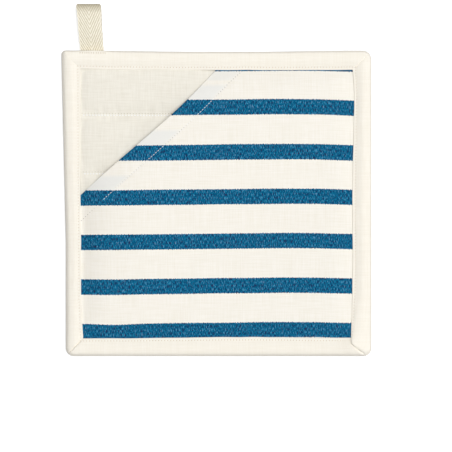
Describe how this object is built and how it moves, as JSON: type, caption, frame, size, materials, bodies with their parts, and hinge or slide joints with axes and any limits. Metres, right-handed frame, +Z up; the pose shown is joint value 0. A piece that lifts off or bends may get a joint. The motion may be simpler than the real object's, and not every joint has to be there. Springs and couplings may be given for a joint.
{
  "type": "pot holder",
  "caption": "Square padded pot holder with a bound edge, quilted body, striped hand pocket with a slanted mouth, and a twill tape hanging loop.",
  "frame": {"origin": "middle of the pad on its back face, which rests on the surface", "axes": "+Z up out of the pocket side, +Y towards the edge with the hanging loop, +X to the right as seen from above"},
  "size_m": [0.2129, 0.2423, 0.0137],
  "materials": {
    "pad_canvas": "unbleached cotton canvas, plain weave, matt",
    "wadding_felt": "soft cotton wadding",
    "striped_cloth": "white cotton, plain weave, with woven blue stripes, matt",
    "binding_canvas": "cream cotton canvas strip, plain weave, matt",
    "twill_tape": "ecru cotton herringbone twill tape, matt"
  },
  "bodies": {
    "root": {"back_panel": "pad_canvas", "wadding": "wadding_felt", "front_panel": "pad_canvas", "pocket_panel": "striped_cloth", "edge_binding": "binding_canvas", "hanging_loop": "twill_tape"}
  },
  "joints": []
}
